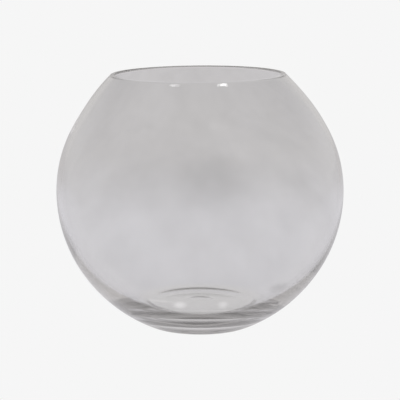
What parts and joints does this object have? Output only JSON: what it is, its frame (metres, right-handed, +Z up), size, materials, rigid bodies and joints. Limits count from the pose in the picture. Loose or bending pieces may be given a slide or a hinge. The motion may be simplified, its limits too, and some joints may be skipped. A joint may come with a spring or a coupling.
{
  "type": "rose bowl vase",
  "caption": "Near-spherical clear glass bowl with a wide cut mouth, a heavy rounded floor and a flat foot ring, for flowers or floating blooms.",
  "frame": {"origin": "on the axis of revolution, in the plane of the flat foot ring that the bowl stands on", "axes": "+Z up along the axis of revolution, -Y towards the viewer of the picture, +X to the viewer's right"},
  "size_m": [0.2, 0.2, 0.1752],
  "materials": {
    "clear_glass": "fire-polished clear glass with a faint grey cast"
  },
  "bodies": {
    "root": {"glass_bowl": "clear_glass"}
  },
  "joints": []
}
